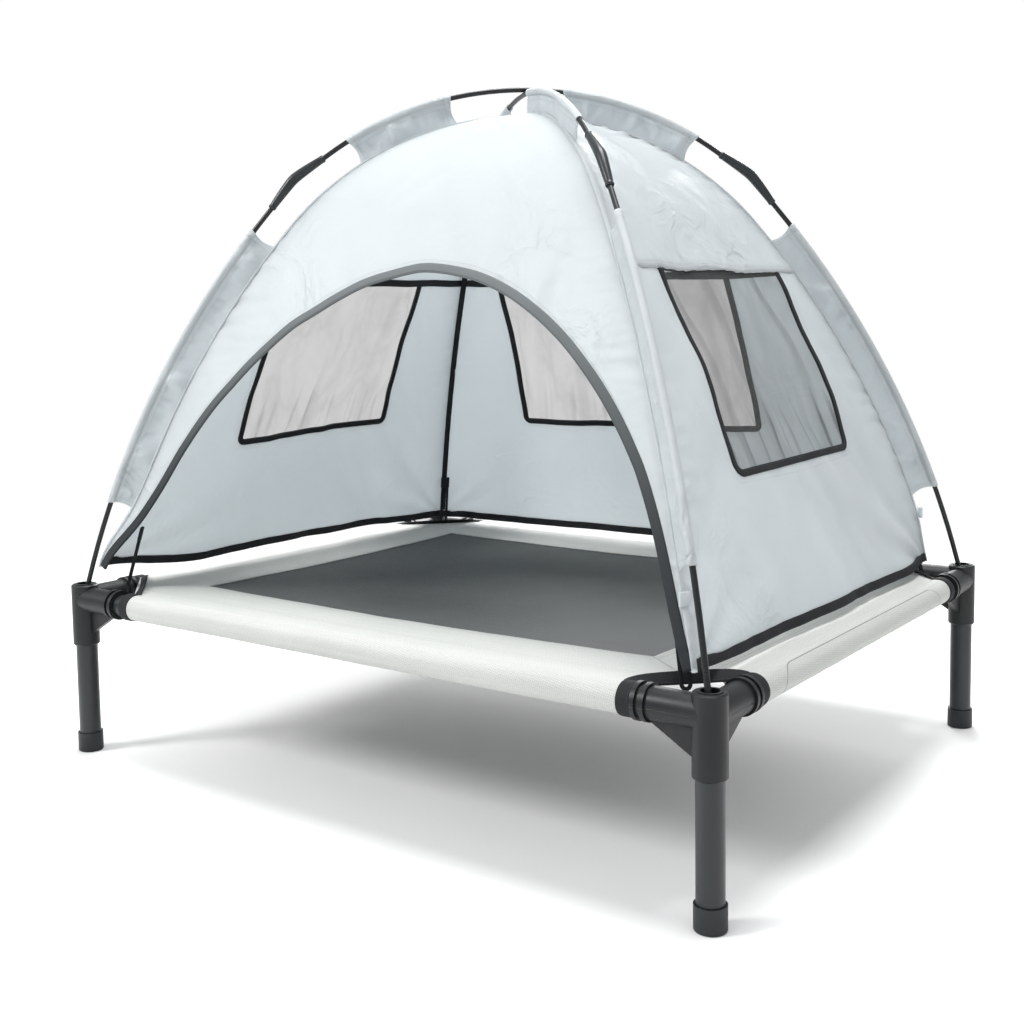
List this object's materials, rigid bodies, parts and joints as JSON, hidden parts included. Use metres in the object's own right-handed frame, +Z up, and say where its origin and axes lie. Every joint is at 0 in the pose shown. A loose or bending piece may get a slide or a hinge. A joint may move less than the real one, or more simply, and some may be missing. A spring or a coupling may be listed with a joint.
{
  "type": "raised pet cot with canopy",
  "caption": "Raised tube-frame pet cot with a fabric sling and a lift-off dome tent on two crossing sprung poles, with an arched door and mesh windows.",
  "frame": {"origin": "on the floor, below the middle of the cot", "axes": "+Z up, +X along the long side to the right seen from the door, -Y towards the door"},
  "size_m": [0.765, 0.613, 0.6885],
  "materials": {
    "connector_plastic": "satin moulded nylon",
    "foot_plastic": "satin moulded",
    "frame_tube": "powder coat",
    "corner_webbing": "woven edging",
    "sling_border": "close woven polyester",
    "sling_mesh": "coarse woven mesh",
    "pole_rod": "pultruded fibreglass",
    "pole_fitting": "moulded",
    "elastic_loop": "elastic webbing",
    "window_mesh": "fine gauze",
    "door_binding": "woven edging",
    "tent_binding": "woven edging",
    "tent_cloth": "coated polyester, soft sheen"
  },
  "bodies": {
    "bed_frame": {"corner_connector_front_left": "connector_plastic", "corner_connector_front_right": "connector_plastic", "corner_connector_back_right": "connector_plastic", "corner_connector_back_left": "connector_plastic", "leg_tube_front_left": "frame_tube", "leg_tube_front_right": "frame_tube", "leg_tube_back_right": "frame_tube", "leg_tube_back_left": "frame_tube", "foot_cap_front_left": "foot_plastic", "foot_cap_front_right": "foot_plastic", "foot_cap_back_right": "foot_plastic", "foot_cap_back_left": "foot_plastic", "rail_front": "frame_tube", "rail_back": "frame_tube", "rail_left": "frame_tube", "rail_right": "frame_tube", "corner_binding_front_left": "corner_webbing", "corner_binding_front_right": "corner_webbing", "corner_binding_back_right": "corner_webbing", "corner_binding_back_left": "corner_webbing", "sling_border": "sling_border", "sling_mesh": "sling_mesh"},
    "canopy": {"lower_rod_front_left": "pole_rod", "pole_elbow_front_left": "pole_fitting", "lower_fin_front_left": "tent_cloth", "upper_fin_front_left": "tent_cloth", "corner_loop_front_left": "elastic_loop", "lower_rod_front_right": "pole_rod", "pole_elbow_front_right": "pole_fitting", "lower_fin_front_right": "tent_cloth", "upper_fin_front_right": "tent_cloth", "corner_loop_front_right": "elastic_loop", "lower_rod_back_right": "pole_rod", "pole_elbow_back_right": "pole_fitting", "lower_fin_back_right": "tent_cloth", "upper_fin_back_right": "tent_cloth", "corner_loop_back_right": "elastic_loop", "lower_rod_back_left": "pole_rod", "pole_elbow_back_left": "pole_fitting", "lower_fin_back_left": "tent_cloth", "upper_fin_back_left": "tent_cloth", "corner_loop_back_left": "elastic_loop", "pole_foot_tips": "pole_fitting", "upper_rod_left_front_to_right_back": "pole_rod", "upper_rod_right_front_to_left_back": "pole_rod", "tent_front_panel": "tent_cloth", "door_binding": "door_binding", "hem_binding": "tent_binding", "tent_left_panel": "tent_cloth", "tent_left_crown": "tent_cloth", "left_window_binding": "tent_binding", "left_window_mesh": "window_mesh", "tent_right_panel": "tent_cloth", "tent_right_crown": "tent_cloth", "right_window_binding": "tent_binding", "right_window_mesh": "window_mesh", "tent_back_panel": "tent_cloth", "tent_back_crown": "tent_cloth", "back_window_binding": "tent_binding", "back_window_mesh": "window_mesh"}
  },
  "joints": [
    {"name": "canopy_lift", "type": "slide", "parent": "bed_frame", "child": "canopy", "axis": [0, 0, 1], "range_m": [0, 0.12]}
  ]
}
